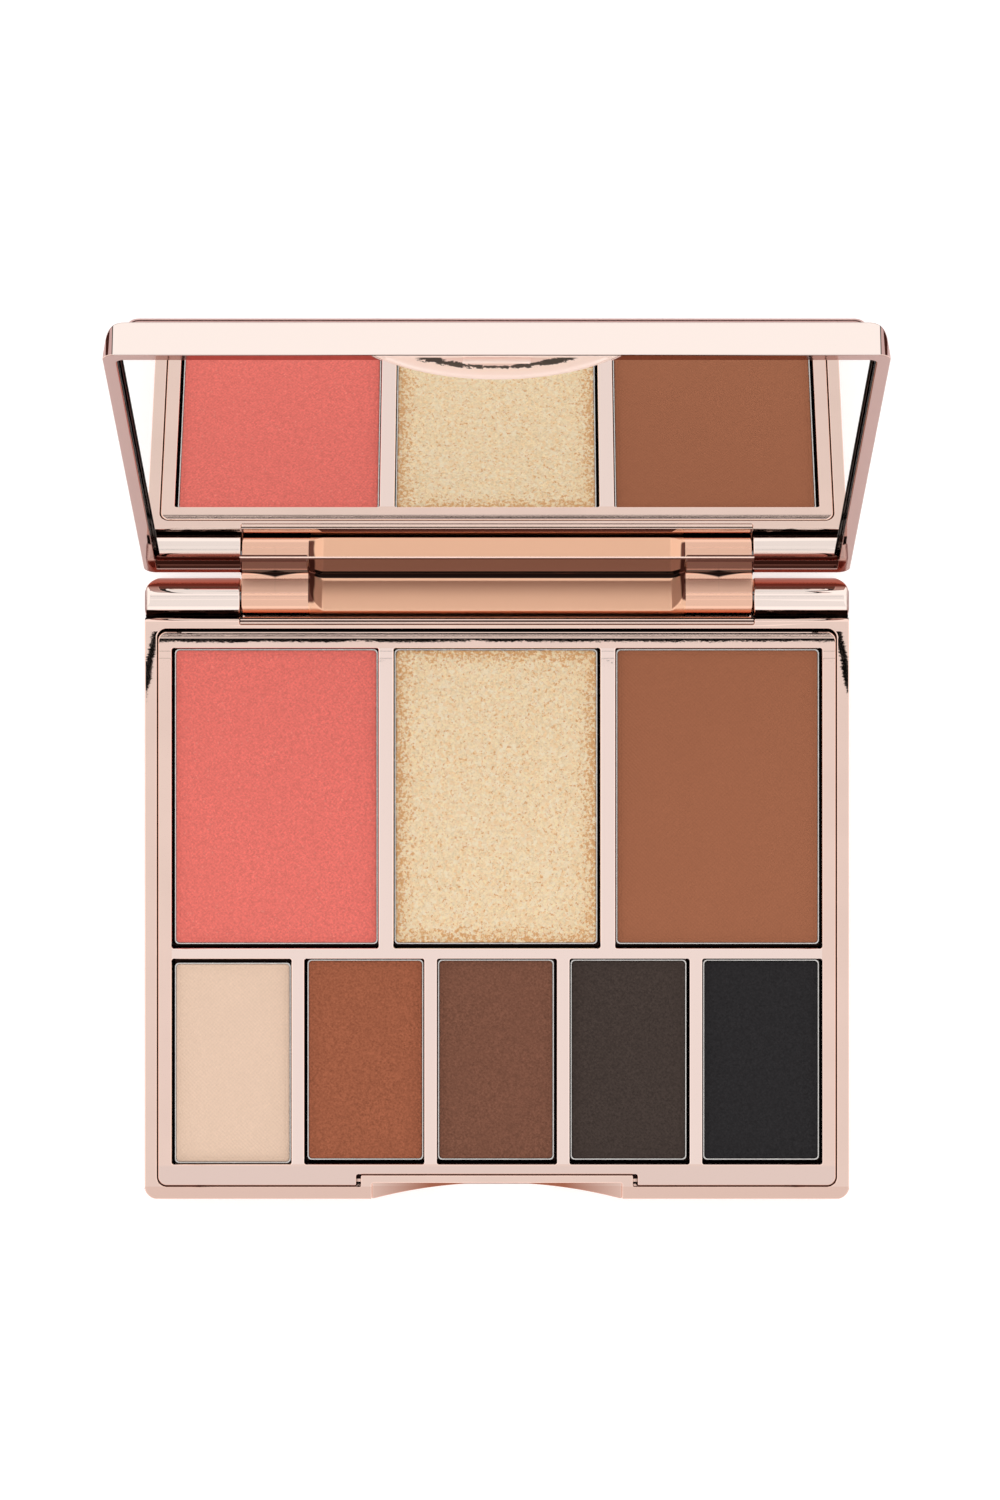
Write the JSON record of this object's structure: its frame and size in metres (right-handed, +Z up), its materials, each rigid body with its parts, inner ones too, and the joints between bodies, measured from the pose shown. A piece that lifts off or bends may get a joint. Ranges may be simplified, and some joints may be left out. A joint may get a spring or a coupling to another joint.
{
  "type": "makeup palette",
  "caption": "Flat hinged makeup palette with metal pans of pressed powder in a tray, and a mirror in its tilting lid.",
  "frame": {"origin": "centre of the base's flat underside", "axes": "+Z up, +Y towards the hinge, +X to the right as the user faces the open palette"},
  "size_m": [0.115, 0.1364, 0.0995],
  "materials": {
    "rose_gold_case": "polished",
    "rose_gold_tray": "polished",
    "lid_plate": "gloss",
    "pan_metal": "satin",
    "steel": "satin",
    "mirror_glass": "polished",
    "foam_tape": "matte",
    "glue": "satin",
    "powder_coral": "matte",
    "powder_champagne": "matte",
    "powder_bronze": "matte",
    "powder_cream": "matte",
    "powder_terracotta": "matte",
    "powder_chestnut": "matte",
    "powder_umber": "matte",
    "powder_black": "matte"
  },
  "bodies": {
    "base": {"base_shell": "rose_gold_case", "pan_tray": "rose_gold_tray", "weight_plate": "steel", "hinge_pin_left": "steel", "hinge_pin_right": "steel", "pan_1_coral": "pan_metal", "powder_1_coral": "powder_coral", "pan_glue_1": "glue", "pan_2_champagne": "pan_metal", "powder_2_champagne": "powder_champagne", "pan_glue_2": "glue", "pan_3_bronze": "pan_metal", "powder_3_bronze": "powder_bronze", "pan_glue_3": "glue", "pan_4_cream": "pan_metal", "powder_4_cream": "powder_cream", "pan_glue_4": "glue", "pan_5_terracotta": "pan_metal", "powder_5_terracotta": "powder_terracotta", "pan_glue_5": "glue", "pan_6_chestnut": "pan_metal", "powder_6_chestnut": "powder_chestnut", "pan_glue_6": "glue", "pan_7_umber": "pan_metal", "powder_7_umber": "powder_umber", "pan_glue_7": "glue", "pan_8_black": "pan_metal", "powder_8_black": "powder_black", "pan_glue_8": "glue"},
    "lid": {"lid_shell": "rose_gold_case", "mirror": "mirror_glass", "mirror_tape": "foam_tape", "catch_plate": "rose_gold_case", "top_plate": "lid_plate", "plate_tape": "foam_tape"}
  },
  "joints": [
    {"name": "lid_hinge", "type": "hinge", "parent": "base", "child": "lid", "pos_m": [0, 0.0475, 0.0067], "axis": [-1, 0, 0], "range_deg": [-107.5, 22.5]}
  ]
}
